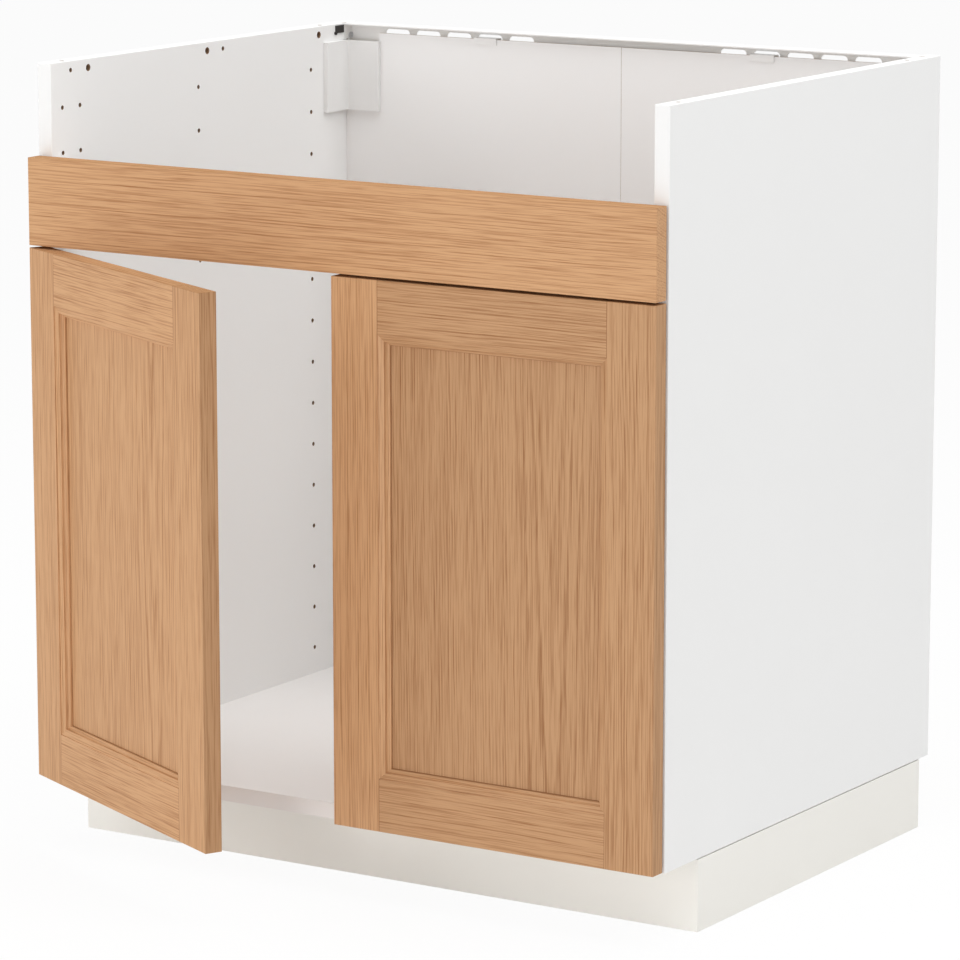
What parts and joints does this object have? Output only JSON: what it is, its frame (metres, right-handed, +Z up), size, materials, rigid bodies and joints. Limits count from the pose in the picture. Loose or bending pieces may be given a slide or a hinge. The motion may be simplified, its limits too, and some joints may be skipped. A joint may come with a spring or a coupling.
{
  "type": "kitchen base cabinet",
  "caption": "White kitchen base cabinet for an apron-front sink, open at the top, with an oak front panel over hinged frame-and-panel oak doors on a plinth with levelling feet.",
  "frame": {"origin": "on the floor, mid-width, in the middle of the front plinth board's underside", "axes": "+X to the right seen from the front, +Y back to the wall, +Z up"},
  "size_m": [0.8005, 0.7956, 0.88],
  "materials": {
    "white_board": "smooth white foil",
    "white_back": "white lacquered fibreboard",
    "plinth_white": "matt off-white foil",
    "oak": "clear matt lacquer",
    "oak_panel": "clear matt lacquer",
    "white_steel": "white powder coat",
    "dark_steel": "black oxide",
    "white_plastic": "satin",
    "zinc_steel": "zinc plated",
    "cast_zinc": "as cast",
    "nickel_steel": "nickel plated",
    "beech": "fluted bare wood",
    "clear_rubber": "soft matt",
    "black_plastic": "moulded"
  },
  "bodies": {
    "carcass": {"back_board_left": "white_back", "back_board_right": "white_back", "bottom_panel": "white_board", "cam_bolts": "cast_zinc", "cam_locks": "cast_zinc", "carcass_dowels": "beech", "cross_rail_screws": "zinc_steel", "front_cross_rail": "white_steel", "front_left_leg": "black_plastic", "front_panel": "oak", "front_panel_screws": "zinc_steel", "front_right_leg": "black_plastic", "hinge_arm_pins": "nickel_steel", "hinge_arm_screws": "zinc_steel", "hinge_arms": "nickel_steel", "hinge_plate_screws": "zinc_steel", "hinge_plates": "nickel_steel", "left_bracket_cover": "white_plastic", "left_side_panel": "white_board", "left_wall_bracket": "zinc_steel", "leg_screws": "zinc_steel", "plinth_clips": "black_plastic", "plinth_front": "plinth_white", "plinth_left": "plinth_white", "plinth_right": "plinth_white", "rear_left_leg": "black_plastic", "rear_rail": "white_steel", "rear_rail_clips": "white_steel", "rear_rail_hooks": "dark_steel", "rear_rail_screws": "zinc_steel", "rear_right_leg": "black_plastic", "right_bracket_cover": "white_plastic", "right_side_panel": "white_board", "right_wall_bracket": "zinc_steel", "wall_bracket_screws": "zinc_steel"},
    "left_links": {"left_hinge_links": "nickel_steel"},
    "left_door": {"left_cup_pins": "nickel_steel", "left_cup_screws": "zinc_steel", "left_door_bottom_rail": "oak", "left_door_bumpers": "clear_rubber", "left_door_free_stile": "oak", "left_door_hinge_stile": "oak", "left_door_panel": "oak_panel", "left_door_top_rail": "oak", "left_hinge_cups": "nickel_steel"},
    "right_links": {"right_hinge_links": "nickel_steel"},
    "right_door": {"right_cup_pins": "nickel_steel", "right_cup_screws": "zinc_steel", "right_door_bottom_rail": "oak", "right_door_bumpers": "clear_rubber", "right_door_free_stile": "oak", "right_door_hinge_stile": "oak", "right_door_panel": "oak_panel", "right_door_top_rail": "oak", "right_hinge_cups": "nickel_steel"},
    "front_left_foot": {"front_left_foot": "black_plastic"},
    "front_right_foot": {"front_right_foot": "black_plastic"},
    "rear_left_foot": {"rear_left_foot": "black_plastic"},
    "rear_right_foot": {"rear_right_foot": "black_plastic"}
  },
  "joints": [
    {"name": "left_link_swing", "type": "hinge", "parent": "carcass", "child": "left_links", "pos_m": [-0.3625, -0.0745, 0.38], "axis": [0, 0, -1], "range_deg": [-22.91, 8.85]},
    {"name": "left_door_swing", "type": "hinge", "parent": "left_links", "child": "left_door", "pos_m": [-0.38423, -0.09102, 0.38], "axis": [0, 0, -1], "range_deg": [-35.2, 91.42]},
    {"name": "right_link_swing", "type": "hinge", "parent": "carcass", "child": "right_links", "pos_m": [0.3625, -0.0745, 0.38], "axis": [0, 0, 1], "range_deg": [-31.7, 0.05]},
    {"name": "right_door_swing", "type": "hinge", "parent": "right_links", "child": "right_door", "pos_m": [0.3865, -0.0875, 0.38], "axis": [0, 0, 1], "range_deg": [0, 126.62]},
    {"name": "front_left_foot_level", "type": "slide", "parent": "carcass", "child": "front_left_foot", "axis": [0, 0, 1], "range_m": [-0.02, 0]},
    {"name": "front_right_foot_level", "type": "slide", "parent": "carcass", "child": "front_right_foot", "axis": [0, 0, 1], "range_m": [-0.02, 0]},
    {"name": "rear_left_foot_level", "type": "slide", "parent": "carcass", "child": "rear_left_foot", "axis": [0, 0, 1], "range_m": [-0.02, 0]},
    {"name": "rear_right_foot_level", "type": "slide", "parent": "carcass", "child": "rear_right_foot", "axis": [0, 0, 1], "range_m": [-0.02, 0]}
  ],
  "couplings": [
    {"joint": "left_link_swing", "follows": "left_door_swing", "ratio": -0.25},
    {"joint": "right_link_swing", "follows": "right_door_swing", "ratio": -0.25}
  ]
}
